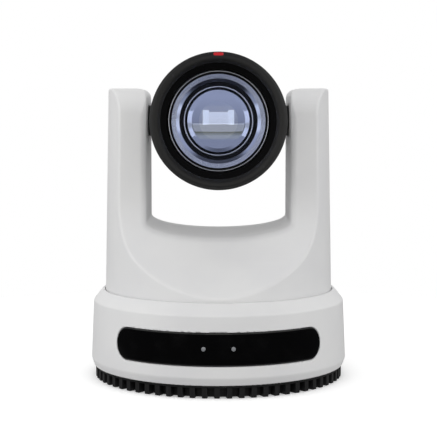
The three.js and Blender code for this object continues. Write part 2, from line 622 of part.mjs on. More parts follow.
function buildHead() {
  const group = new THREE.Group();
  group.position.z = tiltZ;
  const tallyBlock = block([-tally.halfX, tally.frontY, tally.lowZ], [tally.halfX, tally.rearY, tally.highZ]);
  const leftTrunnion = mesh("trunnion_left", trunnionShaft(trunnion.leftEndX), blackAbs);
  leftTrunnion.rotation.z = Math.PI;
  group.add(
    mesh("head_bezel", headBezel(), blackAbs),
    mesh("head_shell", headShell(), whiteAbs),
    mesh("head_rear_cover", headRearCover(), whiteAbs),
    mesh("tally_light", tallyBlock, redAcrylic),
    mesh("lens_trim_ring", lensTrimRing(), nickel),
    mesh("front_glass", lensElement(frontElement), coatedGlass),
    mesh("lens_barrel", lensBarrel(), blackAbs),
    mesh("inner_glass", lensElement(innerElement), coatedGlass),
    leftTrunnion,
    mesh("trunnion_right", trunnionShaft(trunnion.endX), blackAbs),
    mesh("tilt_pulley", toothedPulley(tiltDrive.pulleyR, trunnion.shaftR + GAP, 50.5, 55, "x"), acetal),
    mesh("guide_rod_left", lensRod(), zincSteel, [-rodOffset, 0, 0]),
    mesh("guide_rod_right", lensRod(), zincSteel, [rodOffset, 0, 0]),
    mesh("zoom_carrier", lensCarrier(zoom.carrierLowY, zoom.carrierHighY, 1), blackAbs),
    mesh("zoom_screw", leadScrew(zoom), zincSteel, [0, 0, rodOffset]),
    mesh("zoom_motor", smallMotor(zoom), castAluminium, [0, 0, rodOffset]),
    mesh("focus_carrier", lensCarrier(focus.carrierLowY, focus.carrierHighY, -1), blackAbs),
    mesh("focus_screw", leadScrew(focus), zincSteel, [0, 0, -rodOffset]),
    mesh("focus_motor", smallMotor(focus), castAluminium, [0, 0, -rodOffset]),
    mesh("sensor_board", sensorBoard(), circuitBoard),
    mesh("heat_sink", heatSink(), castAluminium),
  );
  return group;
}

const camera = new THREE.Group();
camera.add(buildBase(), buildYoke(), buildHead());

export default camera;
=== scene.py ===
import itertools
import json
import math

import bmesh
import bpy
import numpy as np
from mathutils import Matrix, Vector


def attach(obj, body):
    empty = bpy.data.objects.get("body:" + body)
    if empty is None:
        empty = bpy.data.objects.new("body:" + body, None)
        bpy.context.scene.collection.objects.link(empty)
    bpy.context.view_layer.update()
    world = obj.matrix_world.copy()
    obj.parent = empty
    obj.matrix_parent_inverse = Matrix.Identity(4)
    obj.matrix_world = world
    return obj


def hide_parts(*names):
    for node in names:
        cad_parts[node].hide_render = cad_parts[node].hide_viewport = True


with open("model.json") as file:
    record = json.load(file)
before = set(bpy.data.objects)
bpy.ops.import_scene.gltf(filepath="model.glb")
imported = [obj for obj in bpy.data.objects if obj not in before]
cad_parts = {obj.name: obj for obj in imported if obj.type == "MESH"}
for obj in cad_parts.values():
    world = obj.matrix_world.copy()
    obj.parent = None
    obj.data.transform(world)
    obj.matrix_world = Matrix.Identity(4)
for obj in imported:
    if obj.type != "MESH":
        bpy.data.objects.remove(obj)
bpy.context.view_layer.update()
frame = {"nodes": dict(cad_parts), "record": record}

MM = 0.001
TILT_Z = 141.5  # height of the tilt axis

# ---------------------------------------------------------------- camera
CAMERA_AT = (0, -0.72458, 0.14625)
CAMERA_PITCH = math.radians(90 - 4.683)  # it looks down by 4.683 degrees
CAMERA_LENS = 107.09


def set_camera():
    data = bpy.data.cameras.new("camera")
    data.lens = CAMERA_LENS
    data.sensor_width = 36
    data.clip_end = 20
    camera = bpy.data.objects.new("camera", data)
    camera.location = CAMERA_AT
    camera.rotation_euler = (CAMERA_PITCH, 0, 0)
    bpy.context.collection.objects.link(camera)
    bpy.context.scene.camera = camera


set_camera()


# ---------------------------------------------------------------- materials
def linear(hex_colour):
    """An sRGB hex colour as the linear colour that a shader takes."""
    parts = [int(hex_colour[i:i + 2], 16) / 255 for i in (0, 2, 4)]
    return [p / 12.92 if p <= 0.04045 else ((p + 0.055) / 1.055) ** 2.4 for p in parts] + [1]


def add(tree, kind, settings=None, **inputs):
    """Adds a node. A keyword is a socket's name with underscores for spaces, or i and the socket's number;
    a value is set on it, and another node's output is linked to it."""
    node = tree.nodes.new(kind)
    for key, value in (settings or {}).items():
        setattr(node, key, value)
    for key, value in inputs.items():
        name = key.replace("_", " ")
        socket = node.inputs[int(key[1:])] if key[1:].isdigit() else node.inputs[name]
        if isinstance(value, bpy.types.NodeSocket):
            tree.links.new(value, socket)
        else:
            socket.default_value = value
    return node


def new_material(name):
    """An empty material, its node tree, its shader and the coordinates that patterns are laid out in."""
    material = bpy.data.materials.new(name)
    material.use_nodes = True
    tree = material.node_tree
    shader = tree.nodes["Principled BSDF"]
    return material, tree, shader, add(tree, "ShaderNodeTexCoord").outputs["Object"]


def set_stops(ramp, stops):
    """Sets a colour ramp's stops, (place, linear colour) from low to high, and gives its colour output."""
    elements = ramp.color_ramp.elements
    while len(elements) < len(stops):
        elements.new(0.5)
    for element, (place, colour) in zip(elements, stops):
        element.position = place
        element.color = colour
    return ramp.outputs["Color"]


def per_mm(size):
    """The scale of a pattern whose features are this many millimetres wide."""
    return 1 / (size * MM)


def moulded(name, light, dark, roughness, grain=0.45, depth=0.012, worn=None, gloss=0.5):
    """Injection-moulded plastic: an eroded tool leaves a fine even grain that spreads its highlights, and the
    colour drifts a little over the piece. Handled edges are polished to a paler line. The grain is drawn
    coarser than a real tool's, so that it shows."""
    material, tree, shader, place = new_material(name)
    drift = add(tree, "ShaderNodeTexNoise", Vector=place, Scale=per_mm(38), Detail=3)
    tint = add(tree, "ShaderNodeValToRGB", Fac=drift.outputs["Fac"])
    colour = set_stops(tint, [(0.35, linear(dark)), (0.65, linear(light))])
    if worn:
        edge = add(tree, "ShaderNodeNewGeometry").outputs["Pointiness"]
        rub = add(tree, "ShaderNodeMapRange", Value=edge, From_Min=0.52, From_Max=0.6).outputs["Result"]
        colour = add(
            tree, "ShaderNodeMix", {"data_type": "RGBA"}, i0=rub, i6=colour, i7=linear(worn)
        ).outputs[2]
    tree.links.new(colour, shader.inputs["Base Color"])
    sheen = add(tree, "ShaderNodeTexNoise", Vector=place, Scale=per_mm(9), Detail=4)
    spread = add(
        tree, "ShaderNodeMapRange", Value=sheen.outputs["Fac"],
        To_Min=roughness - 0.05, To_Max=roughness + 0.06
    )
    tree.links.new(spread.outputs["Result"], shader.inputs["Roughness"])
    pits = add(tree, "ShaderNodeTexNoise", Vector=place, Scale=per_mm(grain), Detail=2)
    bump = add(tree, "ShaderNodeBump", Height=pits.outputs["Fac"], Distance=depth * MM, Strength=0.8)
    tree.links.new(bump.outputs["Normal"], shader.inputs["Normal"])
    shader.inputs["IOR"].default_value = 1.54
    shader.inputs["Specular IOR Level"].default_value = gloss
    return material


def polished_plastic(name, colour, roughness):
    """Polished acrylic: an even body whose gloss holds faint wiping marks."""
    material, tree, shader, place = new_material(name)
    shader.inputs["Base Color"].default_value = linear(colour)
    shader.inputs["IOR"].default_value = 1.49
    marks = add(tree, "ShaderNodeTexNoise", Vector=place, Scale=per_mm(14), Detail=6, Roughness=0.7)
    haze = add(
        tree, "ShaderNodeMapRange", Value=marks.outputs["Fac"], From_Min=0.45, From_Max=0.75,
        To_Min=roughness, To_Max=roughness + 0.08
    )
    tree.links.new(haze.outputs["Result"], shader.inputs["Roughness"])
    return material


def bare_metal(name, colour, shade, roughness, grain=0.6, depth=0.01):
    """Plated, cast or turned metal: a mottled tint under fine tool marks, which break up its reflections."""
    material, tree, shader, place = new_material(name)
    mottle = add(tree, "ShaderNodeTexNoise", Vector=place, Scale=per_mm(5), Detail=4)
    tint = add(tree, "ShaderNodeValToRGB", Fac=mottle.outputs["Fac"])
    colours = set_stops(tint, [(0.3, linear(shade)), (0.7, linear(colour))])
    tree.links.new(colours, shader.inputs["Base Color"])
    shader.inputs["Metallic"].default_value = 1
    marks = add(tree, "ShaderNodeTexNoise", Vector=place, Scale=per_mm(grain), Detail=3)
    spread = add(
        tree, "ShaderNodeMapRange", Value=marks.outputs["Fac"],
        To_Min=roughness - 0.08, To_Max=roughness + 0.1
    )
    tree.links.new(spread.outputs["Result"], shader.inputs["Roughness"])
    bump = add(tree, "ShaderNodeBump", Height=marks.outputs["Fac"], Distance=depth * MM, Strength=0.6)
    tree.links.new(bump.outputs["Normal"], shader.inputs["Normal"])
    return material


def coated_glass(name, tint, facing, edge, clear):
    """Multi-coated optical glass: it lets the inside of the lens show, and its coating returns a tinted
    reflection, from a share of the light that meets it squarely to a larger one where it is seen edge-on."""
    material, tree, shader, _ = new_material(name)
    tree.nodes.remove(shader)
    through = add(tree, "ShaderNodeBsdfTransparent", Color=linear(clear))
    back = add(tree, "ShaderNodeBsdfGlossy", Color=linear(tint), Roughness=0.03)
    rim = add(tree, "ShaderNodeLayerWeight", Blend=0.35)
    share = add(tree, "ShaderNodeMapRange", Value=rim.outputs["Fresnel"], To_Min=facing, To_Max=edge)
    inside = add(tree, "ShaderNodeNewGeometry").outputs["Backfacing"]
    outside = add(tree, "ShaderNodeMapRange", Value=inside, To_Min=share.outputs["Result"], To_Max=0.0)
    mix = add(
        tree, "ShaderNodeMixShader", Fac=outside.outputs["Result"],
        i1=through.outputs["BSDF"], i2=back.outputs["BSDF"]
    )
    tree.links.new(mix.outputs["Shader"], tree.nodes["Material Output"].inputs["Surface"])
    return material


def shade_darkened_lining(name, colour):
    """A lining of matt fibres half a millimetre long, coloured darker than the bezel's black: painted shade
    for the shade inside the hood.
    """
    material, tree, shader, place = new_material(name)
    nap = add(tree, "ShaderNodeTexNoise", Vector=place, Scale=per_mm(0.5), Detail=3)
    tint = add(tree, "ShaderNodeValToRGB", Fac=nap.outputs["Fac"])
    colours = set_stops(tint, [(0.3, linear("060607")), (0.7, linear(colour))])
    tree.links.new(colours, shader.inputs["Base Color"])
    bump = add(tree, "ShaderNodeBump", Height=nap.outputs["Fac"], Distance=0.05 * MM)
    tree.links.new(bump.outputs["Normal"], shader.inputs["Normal"])
    shader.inputs["Roughness"].default_value = 0.95
    shader.inputs["Specular IOR Level"].default_value = 0.08
    return material


def circuit_board(name):
    """Glass-epoxy board under green solder mask: copper tracks show as slightly paler raised lines."""
    material, tree, shader, place = new_material(name)
    tracks = add(
        tree, "ShaderNodeTexBrick", {"offset": 0.37, "squash": 0.6}, Vector=place, Scale=per_mm(4),
        Color1=linear("1F6B3A"), Color2=linear("1A5A31"), Mortar=linear("2F8550"), Mortar_Size=0.06
    )
    tree.links.new(tracks.outputs["Color"], shader.inputs["Base Color"])
    bump = add(tree, "ShaderNodeBump", Height=tracks.outputs["Fac"], Distance=0.035 * MM)
    tree.links.new(bump.outputs["Normal"], shader.inputs["Normal"])
    shader.inputs["Roughness"].default_value = 0.38
    return material


# The shells: satin white and a rougher black, which the foot has deeper and duller.
white_abs = moulded("moulded_white_abs", "E3E3E3", "DEDEDF", 0.48)
black_abs = moulded(
    "moulded_black_abs", "1A1A1B", "141415", 0.6, grain=0.4, depth=0.016, worn="28282A", gloss=0.28
)
foot_black = moulded(
    "moulded_foot_nylon", "0E0E0F", "0A0A0B", 0.6, grain=0.4, depth=0.016, worn="1C1C1E", gloss=0.18
)
# The lens: matt black inside, and glass that hardly reflects in front and mirrors pale blue and amber behind.
lens_black = moulded("anodised_lens_black", "0A0B10", "06070B", 0.4, grain=0.3, depth=0.008, gloss=0.1)
window_acrylic = polished_plastic("smoked_acrylic", "040405", 0.05)
lamp_acrylic = polished_plastic("frosted_light_pipe", "7C7E82", 0.35)
red_acrylic = polished_plastic("red_tally_acrylic", "C01420", 0.35)
front_coating = coated_glass("coated_front_glass", "B4BEF0", 0.0, 0.15, "F4F6FB")
# The hood's lining is darker than the bezel: painted shade standing in for the shade inside the recess.
hood_painted_shade_black = shade_darkened_lining("lens_hood_painted_shade", "0B0B0C")
inner_coating = coated_glass("blue_coated_glass", "D9E1FC", 0.57, 0.8, "FDFDFD")
rear_coating = coated_glass("amber_coated_glass", "FFFAEC", 0.3, 0.9, "202428")
# Metals, from the bright rings in the lens to the rougher casting behind the shells.
silver_ring = bare_metal("turned_silver_ring", "B8BBC8", "AFB2BF", 0.24, grain=0.3, depth=0.001)
polished_bevel = bare_metal("polished_lens_bevel", "B4BACD", "AEB4C8", 0.14, grain=0.3, depth=0.001)
zinc_steel = bare_metal("zinc_plated_steel", "C3C5C6", "A8ABAD", 0.36)
cast_aluminium = bare_metal("cast_aluminium", "ADB0B3", "979A9E", 0.48, grain=0.8, depth=0.03)
nickel = bare_metal("nickel_plate", "CFCBC2", "B9B5AC", 0.26, grain=0.7)
brass = bare_metal("turned_brass", "D3AE5B", "B88F3D", 0.28, grain=0.35)
gold_plate = bare_metal("gold_plated_contact", "E6C46A", "D9B152", 0.22, grain=0.3)
# Plastics and rubber of the sockets, gears and belts, and the board's green mask.
jack_plastic = moulded("moulded_jack_nylon", "1B1B1D", "121214", 0.4, grain=0.3)
acetal = moulded("moulded_acetal", "E8E4D8", "DAD5C6", 0.42, grain=0.35)
rubber = moulded("belt_rubber", "1D1D1D", "141414", 0.75, grain=0.25, depth=0.03)
board_green = circuit_board("solder_masked_board")

# The finish of each of the frame's material slots, for the pieces that keep their CAD shape.
SLOT_FINISH = {
    "white_abs": white_abs, "black_abs": black_abs, "smoked_acrylic": window_acrylic,
    "clear_acrylic": lamp_acrylic, "red_acrylic": red_acrylic, "coated_glass": inner_coating,
    "zinc_steel": zinc_steel, "cast_aluminium": cast_aluminium, "nickel": nickel, "brass": brass,
    "circuit_board": board_green, "jack_plastic": jack_plastic, "acetal": acetal, "belt_rubber": rubber,
}


# ---------------------------------------------------------------- outlines
def arc(u, v, radius, start, end, steps=24):
    """Points on an arc, from one angle to another in degrees."""
    angles = np.radians(np.linspace(start, end, steps + 1))
    return [(u + radius * math.cos(a), v + radius * math.sin(a)) for a in angles]


def rounded(*corners, steps=6):
    """A closed outline from corners (u, v, radius), each turned into an arc of its radius."""
    outline = []
    for i, (u, v, radius) in enumerate(corners):
        here = Vector((u, v))
        to_last = (Vector(corners[i - 1][:2]) - here).normalized()
        to_next = (Vector(corners[(i + 1) % len(corners)][:2]) - here).normalized()
        if not radius:
            outline.append((u, v))
            continue
        half = to_last.angle(to_next) / 2
        centre = here + (to_last + to_next).normalized() * radius / math.sin(half)
        start = here + to_last * radius / math.tan(half) - centre
        end = here + to_next * radius / math.tan(half) - centre
        turn = math.atan2(start.cross(end), start.dot(end))
        for k in range(steps + 1):
            a = turn * k / steps
            outline.append((
                centre.x + start.x * math.cos(a) - start.y * math.sin(a),
                centre.y + start.x * math.sin(a) + start.y * math.cos(a),
            ))
    return outline


# ---------------------------------------------------------------- making pieces
def finish_piece(mesh, name, material, body, nodes=(), sharp=32):
    """Puts a mesh in the scene as a piece that rides on a body and stands for its CAD nodes."""
    mesh.materials.append(material)
    mesh.shade_smooth()
    if sharp:
        mesh.set_sharp_from_angle(angle=math.radians(sharp))
    piece = bpy.data.objects.new(name, mesh)
    bpy.context.collection.objects.link(piece)
    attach(piece, body)
    if nodes:
        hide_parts(*nodes)
    return piece


def mesh_of(bm, name):
    """A bmesh in millimetres as a mesh in metres, with its faces turned outwards."""
    bmesh.ops.remove_doubles(bm, verts=bm.verts, dist=1e-4)
    bmesh.ops.dissolve_degenerate(bm, edges=bm.edges, dist=1e-5)
    bmesh.ops.recalc_face_normals(bm, faces=bm.faces)
    bm.transform(Matrix.Scale(MM, 4))
    mesh = bpy.data.meshes.new(name)
    bm.to_mesh(mesh)
    bm.free()
    return mesh


def join_rings(bm, rings, sides):
    """Faces from each ring of points to the next and from the last to the first, on the numbered sides."""
    for ring, after in zip(rings, rings[1:] + rings[:1]):
        for k in sides:
            j = (k + 1) % len(ring)
            bm.faces.new((ring[k], ring[j], after[j], after[k]))


def turned(name, outline, axis, material, body, nodes=(), at=(0, 0, 0), sides=160):
    """A closed outline (radius, height) turned about an axis through at."""
    bm = bmesh.new()
    rings = []
    for i in range(sides):
        a = 2 * math.pi * i / sides
        c, s = math.cos(a), math.sin(a)
        spots = {
            "z": [(r * c, r * s, h) for r, h in outline],
            "y": [(r * c, h, r * s) for r, h in outline],
            "x": [(h, r * c, r * s) for r, h in outline],
        }[axis]
        rings.append([bm.verts.new(Vector(spot) + Vector(at)) for spot in spots])
    ends = zip(outline, outline[1:] + outline[:1])
    join_rings(bm, rings, [k for k, (start, end) in enumerate(ends) if start[0] or end[0]])
    return finish_piece(mesh_of(bm, name), name, material, body, nodes)


def about_lens(name, outline, material, nodes=()):
    """A piece of the head turned about the lens's axis."""
    return turned(name, outline, "y", material, "head", nodes, at=(0, 0, TILT_Z), sides=200)


def break_edges(piece, width, angle):
    """A small bevel along the edges that turn by more than an angle in degrees."""
    edge = piece.modifiers.new("edge", "BEVEL")
    edge.width = width * MM
    edge.segments = 2
    edge.limit_method = "ANGLE"
    edge.angle_limit = math.radians(angle)


# ---------------------------------------------------------------- fields
# A field is a distance in millimetres to a surface, and negative inside it.
def outline_distance(outline, u, v):
    """Distance to a closed outline."""
    u, v = np.broadcast_arrays(u, v)
    nearest = np.full(u.shape, np.inf)
    within = np.zeros(u.shape, bool)
    for (u0, v0), (u1, v1) in zip(outline, outline[1:] + outline[:1]):
        du, dv = u1 - u0, v1 - v0
        if du * du + dv * dv < 1e-12:
            continue
        t = np.clip(((u - u0) * du + (v - v0) * dv) / (du * du + dv * dv), 0, 1)
        nearest = np.minimum(nearest, (u - u0 - t * du) ** 2 + (v - v0 - t * dv) ** 2)
        if dv:
            within ^= ((v0 > v) != (v1 > v)) & (u < u0 + (v - v0) * du / dv)
    return np.where(within, -1, 1) * np.sqrt(nearest)


def meet(a, b, radius):
    """What is inside both fields, with the edge between them rounded."""
    curve = np.hypot(np.maximum(a + radius, 0), np.maximum(b + radius, 0))
    return np.minimum(np.maximum(a, b), -radius) + curve


def bar(u, v, half_u, half_v, radius):
    """A rounded rectangle about the middle of its plane."""
    du, dv = np.abs(u) - half_u + radius, np.abs(v) - half_v + radius
    return np.hypot(np.maximum(du, 0), np.maximum(dv, 0)) + np.minimum(np.maximum(du, dv), 0) - radius


def in_row(u, pitch):
    """Distance to the nearest of a row of lines, one of which is at zero."""
    past = np.abs(u) % pitch
    return np.minimum(past, pitch - past)


def cross(u, v, half_length, half_width):
    """The cross recess of a screw, seen along the screw."""
    return np.minimum(bar(u, v, half_length, half_width, 0.1), bar(u, v, half_width, half_length, 0.1))


# A grid cell's corners, the twelve edges between them, and the four cells round an edge.
CORNERS = list(itertools.product((0, 1), repeat=3))
CELL_EDGES = [
    (a, b) for a, b in itertools.combinations(CORNERS, 2) if sum(abs(p - q) for p, q in zip(a, b)) == 1
]
AROUND_AN_EDGE = ((-1, -1), (0, -1), (0, 0), (-1, 0))


def slope(field, spots):
    """The field and its gradient at an array of points."""
    reach = 0.02
    value = field(*spots.T)
    rise = []
    for way in reach * np.eye(3):
        rise.append((field(*(spots + way).T) - field(*(spots - way).T)) / (2 * reach))
    return value, np.stack(rise, axis=1)


def skin(field, low, high, step):
    """Points, quads and normals of the surface where a field is zero: a point in each grid cell that the
    surface passes through, and a quad round each grid edge that it crosses."""
    axes = [np.arange(lo - 2 * step, hi + 3 * step, step) for lo, hi in zip(low, high)]
    value = np.broadcast_to(field(*np.meshgrid(*axes, indexing="ij", sparse=True)), [len(a) for a in axes])
    solid = value < 0
    cells = [n - 1 for n in solid.shape]
    at_corner = {c: tuple(slice(o, o + n) for o, n in zip(c, cells)) for c in CORNERS}
    filled = sum(solid[s].astype(np.uint8) for s in at_corner.values())
    mixed = (filled > 0) & (filled < 8)
    number = np.full(cells, -1)
    number[mixed] = np.arange(mixed.sum())
    total, count = np.zeros((mixed.sum(), 3)), np.zeros(mixed.sum())
    for a, b in CELL_EDGES:
        va, vb = value[at_corner[a]][mixed], value[at_corner[b]][mixed]
        crosses = (va < 0) != (vb < 0)
        part = np.where(crosses, va / np.where(crosses, va - vb, 1), 0)[:, None]
        total += np.where(crosses[:, None], np.array(a) + part * (np.array(b) - np.array(a)), 0)
        count += crosses
    origin = np.array([a[0] for a in axes])
    spots = origin + step * (np.argwhere(mixed) + total / count[:, None])
    # Each point starts at the mean of its cell's crossings and is moved on to the surface.
    for _ in range(3):
        off, rise = slope(field, spots)
        move = off[:, None] * rise / np.maximum((rise ** 2).sum(axis=1), 0.2)[:, None]
        spots -= np.clip(move, -step / 2, step / 2)
    quads = []
    for axis in range(3):
        ahead = [slice(None)] * 3
        behind = [slice(None)] * 3
        ahead[axis], behind[axis] = slice(1, None), slice(None, -1)
        low_solid = solid[tuple(behind)]
        edges = np.argwhere(low_solid != solid[tuple(ahead)])
        outward = low_solid[tuple(edges.T)]
        ring = []
        for p, q in AROUND_AN_EDGE:
            cell = edges.copy()
            cell[:, (axis + 1) % 3] += p
            cell[:, (axis + 2) % 3] += q
            ring.append(number[tuple(cell.T)])
        quad = np.stack(ring, axis=1)
        quads.append(np.where(outward[:, None], quad, quad[:, ::-1]))
    return spots, np.concatenate(quads), slope(field, spots)[1]


def shaped(name, field, low, high, step, material, body, nodes=()):
    """A piece bounded by a field, its points settled on the surface and shaded by the field's own slope."""
    spots, quads, normals = skin(field, low, high, step)
    mesh = bpy.data.meshes.new(name)
    mesh.from_pydata((spots * MM).tolist(), [], quads.tolist())
    piece = finish_piece(mesh, name, material, body, nodes, sharp=None)
    normals /= np.linalg.norm(normals, axis=1)[:, None]
    mesh.normals_split_custom_set_from_vertices(normals.tolist())
    return piece


# ---------------------------------------------------------------- base
DRUM_R, DRUM_WIDEST_Z = 71, 10.5
DRUM_TOP_R, DRUM_SHOULDER_Z = 69.6, 42.5
DRUM_TAPER = (DRUM_R - DRUM_TOP_R) / (DRUM_SHOULDER_Z - DRUM_WIDEST_Z)
DRUM = rounded(
    (69.6, 6.5, 0.5), (DRUM_R, DRUM_WIDEST_Z, 3), (DRUM_TOP_R, DRUM_SHOULDER_Z, 1.6), (64.6, 48.5, 0.9),
    (63.35, 48.5, 0.25), (63.35, 45.2, 0), (56, 45.2, 0.4), (56, 43.2, 0.4), (62, 43.2, 0), (67.2, 39.5, 0),
    (68.6, 10.5, 0), (67.2, 6.5, 0.3)
)
WINDOW_R = 70.15  # mean radius of the indicator window at its middle
WINDOW_MID, WINDOW_HALF = 25.35, 8.55
WINDOW_STRAIGHT = WINDOW_R * math.radians(49.9) - WINDOW_HALF  # from the middle to where its round end starts
WINDOW_SUNK = 0.2
WINDOW_THICK = 2
BAY_X, BAY_LOW, BAY_HIGH = 43.7, 13.3, 36.7
BAY_GAP = 0.3


def window_slot(x, y, z, grow):
    """The rounded slot in the drum, laid out round its front."""
    round_front = np.arctan2(x, -y) * WINDOW_R
    past_straight = np.maximum(np.abs(round_front) - WINDOW_STRAIGHT, 0)
    return np.hypot(past_straight, z - WINDOW_MID) - WINDOW_HALF - grow


def base_field(x, y, z):
    """The drum, open where the window and the connector bay sit."""
    drum = outline_distance(DRUM, np.hypot(x, y), z)
    drum = meet(drum, -window_slot(x, y, z, 0.15), 0.25)
    bay_mid, bay_half = (BAY_LOW + BAY_HIGH) / 2, (BAY_HIGH - BAY_LOW) / 2
    bay = bar(x, z - bay_mid, BAY_X + BAY_GAP, bay_half + BAY_GAP, 1.2)
    return meet(drum, -np.maximum(bay, 44 - y), 0.5)


def make_base():
    """The white drum with its shoulder, and the inner rim that the fork turns in."""
    shaped(
        "base_cover", base_field, (-71, -71, 6.5), (71, 71, 48.5), 0.85, white_abs, "base",
        ["base_shell"]
    )


def make_window():
    """The smoked window: rings of one rounded slot, each inside the last, wrapped on the drum."""
    edge = 0.35
    inmost = WINDOW_HALF - 0.02
    levels = [(0, -WINDOW_THICK), (0, -edge)]
    for a in np.linspace(0, math.pi / 2, 6)[1:]:
        levels.append((edge * (1 - math.cos(a)), -edge * (1 - math.sin(a))))
    levels += [(shrink, 0) for shrink in np.linspace(0.8, inmost, 12)]
    levels += [(shrink, -WINDOW_THICK) for shrink in np.linspace(inmost, 0.8, 8)]
    bm = bmesh.new()
    rings = []
    for shrink, depth in levels:
        radius = WINDOW_HALF - shrink
        outline = []
        for side, start in ((1, -90), (-1, 90)):
            outline += arc(side * WINDOW_STRAIGHT, 0, radius, start, start + 180, 20)
            along = side * WINDOW_STRAIGHT * np.linspace(1, -1, 42)[1:-1]
            outline += [(u, side * radius) for u in along]
        ring = []
        for u, v in outline:
            z = WINDOW_MID + v
            reach = DRUM_R - DRUM_TAPER * (z - DRUM_WIDEST_Z) - WINDOW_SUNK + depth
            a = u / WINDOW_R
            ring.append(bm.verts.new((reach * math.sin(a), -reach * math.cos(a), z)))
        rings.append(ring)
    join_rings(bm, rings, range(len(rings[0])))
    mesh = mesh_of(bm, "indicator_window")
    finish_piece(mesh, "indicator_window", window_acrylic, "base", ["front_window"])


LAMP_X, LAMP_Z = 7.6, 25.7


def make_lamps():
    """The two frosted light pipes, whose domed ends show in the window."""
    dome = [(0, -69.98), (0.7, -69.92), (1.15, -69.75), (1.25, -69.5), (1.25, -62), (0, -62)]
    for name, x in (("standby", -LAMP_X), ("power", LAMP_X)):
        turned(
            name + "_lamp", dome, "y", lamp_acrylic, "base", [name + "_light"],
            at=(x, 0, LAMP_Z), sides=32
        )


FOOT_TEETH = 67
FIRST_TOOTH = -90.6  # in degrees from the X axis, so that the front is at -90
TOOTH_SHARE = 0.42  # of the pitch
FOOT_ROOT_R, FOOT_TIP_R, FOOT_HOLE_R = 64.6, 68.8, 60
FOOT_TOP = 5.3


def make_foot():
    """The toothed foot ring, and the plain band above its teeth."""
    pitch = 360 / FOOT_TEETH
    tip = pitch * TOOTH_SHARE / 2
    root = 1.1 * tip
    teeth = []
    for i in range(FOOT_TEETH):
        mid = FIRST_TOOTH + i * pitch
        teeth += arc(0, 0, FOOT_ROOT_R, mid - pitch + root, mid - root, 3)
        teeth += arc(0, 0, FOOT_TIP_R, mid - tip, mid + tip, 3)
    start = FIRST_TOOTH - pitch + root
    hole = arc(0, 0, FOOT_HOLE_R, start, start + 360 - 360 / len(teeth), len(teeth) - 1)
    bm = bmesh.new()
    outer, inner = [
        [[bm.verts.new((x, y, z)) for x, y in loop] for z in (0, FOOT_TOP)] for loop in (teeth, hole)
    ]
    for one, other in (outer, inner, (outer[0], inner[0]), (outer[1], inner[1])):
        for k in range(len(teeth)):
            j = (k + 1) % len(teeth)
            bm.faces.new((one[k], one[j], other[j], other[k]))
    mesh = mesh_of(bm, "toothed_foot")
    ring = finish_piece(mesh, "toothed_foot", foot_black, "base", ["foot_ring"], sharp=30)
    break_edges(ring, 0.25, 40)
    band = rounded(
        (68.6, 5.2, 0.2), (68.6, 6.3, 0.2), (FOOT_HOLE_R, 6.3, 0.2), (FOOT_HOLE_R, 5.2, 0.2), steps=3
    )
    turned("foot_band", band, "z", foot_black, "base", ["foot_ring"])


# ---------------------------------------------------------------- fork
FORK_TOP, FORK_LOW = 159, 46.2
FORK_LOW_R, FORK_TAPER = 62.98, 0.0198
FORK_WALL = 2.4
ARM_ROUND = 14  # radius of the arms' tops seen from the side
PIVOT_HOLE_R = 9
SEAM_Y = 16  # the front and rear shells meet here, with a gap between them
SEAM_GAP = 0.3
SCREW_X, SCREW_Z = 48.5, 108


def fork_sweep(y, z, radius, degrees, side):
    """One face of the fork seen from the side: upright above, then sweeping out to the drum."""
    start, end = (180, 180 + degrees) if side > 0 else (0, -degrees)
    points = arc(y + side * radius, z, radius, start, end)
    last_y, last_z = points[-1]
    end_z = 20
    out = (last_z - end_z) * math.tan(math.radians(degrees))
    return points + [(last_y + side * out, end_z)]


# The fork seen from the side, its arms rounded on top.
FORK_SIDE = (
    fork_sweep(-31.3, 100, 45, 47, -1)[::-1]
    + arc(-30.5 + ARM_ROUND, FORK_TOP - ARM_ROUND, ARM_ROUND, 180, 90)
    + arc(30 - ARM_ROUND, FORK_TOP - ARM_ROUND, ARM_ROUND, 90, 0)
    + fork_sweep(30, 95, 36, 50, 1)
)
# The gap for the head seen from the front: a shallow saddle between the arms, whose top corners are rounded.
SLOT_X, SADDLE_Z, SADDLE_DEEP, ARM_CORNER = 38.7, 87.6, 7.8, 4.5
ABOVE_FORK = 200
FORK_SLOT = (
    [(SLOT_X * u, SADDLE_Z + SADDLE_DEEP * v) for u, v in arc(0, 0, 1, 180, 360, 60)]
    + arc(SLOT_X + ARM_CORNER, FORK_TOP - ARM_CORNER, ARM_CORNER, 180, 90, 12)
    + [(SLOT_X + ARM_CORNER, ABOVE_FORK), (-SLOT_X - ARM_CORNER, ABOVE_FORK)]
    + arc(-SLOT_X - ARM_CORNER, FORK_TOP - ARM_CORNER, ARM_CORNER, 90, 0, 12)
)


def fork_form(x, y, z):
    """The fork's outer form, solid: its edges along the gap grow sharper towards the tops of the arms."""
    drum = np.hypot(x, y) - (FORK_LOW_R - FORK_TAPER * (z - FORK_LOW))
    body = meet(drum, outline_distance(FORK_SIDE, y, z), 1)
    edge = 3.2 - 2.4 * np.clip((z - 143) / 9, 0, 1)
    return meet(body, -outline_distance(FORK_SLOT, x, z), edge)


def fork_shell(x, y, z):
    """The moulded wall, open below, with a round hole in each arm's inner wall for the head's pivot."""
    form = fork_form(x, y, z)
    shell = np.maximum(meet(form, FORK_LOW - z, 0.5), -form - FORK_WALL)
    return meet(shell, -np.maximum(np.hypot(y, z - TILT_Z) - PIVOT_HOLE_R, np.abs(x) - 45), 0.7)


def front_half(x, y, z):
    """The front shell, up to its side of the seam."""
    return meet(fork_shell(x, y, z), y - SEAM_Y + SEAM_GAP / 2, 0.3)


